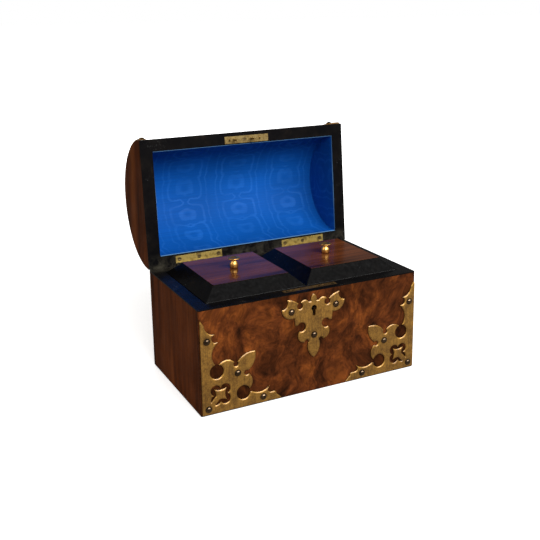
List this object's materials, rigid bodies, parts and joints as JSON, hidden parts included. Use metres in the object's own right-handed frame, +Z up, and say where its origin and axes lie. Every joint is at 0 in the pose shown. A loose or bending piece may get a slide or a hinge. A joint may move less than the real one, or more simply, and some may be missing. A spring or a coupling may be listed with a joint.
{
  "type": "domed tea caddy",
  "caption": "Barrel-topped veneered tea caddy with two lift-off inner lids, silk-lined lid, stopped hinges and a box lock.",
  "frame": {"origin": "middle of the underside of the base, on the surface the caddy stands on", "axes": "+X to the right along the front, -Y out of the front with the keyhole, +Z up"},
  "size_m": [0.23, 0.2047, 0.2329],
  "materials": {
    "pine": "plain carcass softwood",
    "mahogany": "plain waxed mahogany",
    "burr_walnut": "figured walnut veneer, polished",
    "straight_walnut": "straight-grained walnut veneer, polished",
    "panel_walnut": "walnut veneer under a deep french polish",
    "ebonised": "ebonised and polished black",
    "antique_brass": "aged brass with brightened edges",
    "pin_metal": "dark aged brass pins",
    "lock_brass": "plain brass",
    "lock_steel": "spring steel",
    "knob_brass": "turned and polished brass",
    "foil": "dull lead foil",
    "blue_silk": "blue watered silk",
    "baize": "green baize"
  },
  "bodies": {
    "body": {"base_board": "pine", "base_baize": "baize", "front_panel": "pine", "back_panel": "pine", "left_panel": "pine", "right_panel": "pine", "front_veneer": "burr_walnut", "back_veneer": "straight_walnut", "left_veneer": "straight_walnut", "right_veneer": "straight_walnut", "rim_edging": "ebonised", "compartment_liners": "mahogany", "divider": "mahogany", "left_foil": "foil", "right_foil": "foil", "left_corner_mount": "antique_brass", "right_corner_mount": "antique_brass", "escutcheon": "antique_brass", "body_pins": "pin_metal", "lock_case": "lock_brass", "lock_cap": "lock_brass", "lock_selvedge": "lock_brass", "lock_studs": "lock_steel", "lock_spring": "lock_steel", "lock_screws": "lock_brass", "body_hinge_leaves": "lock_brass", "hinge_pins": "lock_brass", "body_hinge_screws": "lock_brass"},
    "barrel_lid": {"lid_staves": "pine", "lid_left_end": "pine", "lid_right_end": "pine", "lid_barrel_veneer": "burr_walnut", "lid_left_veneer": "straight_walnut", "lid_right_veneer": "straight_walnut", "lid_edging": "ebonised", "lid_barrel_silk": "blue_silk", "lid_left_silk": "blue_silk", "lid_right_silk": "blue_silk", "lid_left_strap": "antique_brass", "lid_right_strap": "antique_brass", "lid_pins": "pin_metal", "link_plate": "lock_brass", "link_screw": "lock_brass", "lid_hinge_leaves": "lock_brass", "lid_hinge_screws": "lock_brass"},
    "left_tea_lid": {"left_tea_board": "mahogany", "left_tea_bevel": "ebonised", "left_tea_panel": "panel_walnut", "left_tea_plug": "mahogany", "left_knob": "knob_brass", "left_knob_screw": "lock_brass"},
    "right_tea_lid": {"right_tea_board": "mahogany", "right_tea_bevel": "ebonised", "right_tea_panel": "panel_walnut", "right_tea_plug": "mahogany", "right_knob": "knob_brass", "right_knob_screw": "lock_brass"},
    "bolt": {"lock_bolt": "lock_brass"}
  },
  "joints": [
    {"name": "lid_hinge", "type": "hinge", "parent": "body", "child": "barrel_lid", "pos_m": [0, 0.06525, 0.10165], "axis": [-1, 0, 0], "range_deg": [-94.6, 0]},
    {"name": "left_lid_lift", "type": "slide", "parent": "body", "child": "left_tea_lid", "axis": [0, 0, 1], "range_m": [0, 0.006]},
    {"name": "right_lid_lift", "type": "slide", "parent": "body", "child": "right_tea_lid", "axis": [0, 0, 1], "range_m": [0, 0.006]},
    {"name": "bolt_throw", "type": "slide", "parent": "body", "child": "bolt", "axis": [-1, 0, 0], "range_m": [0, 0.0038]}
  ]
}
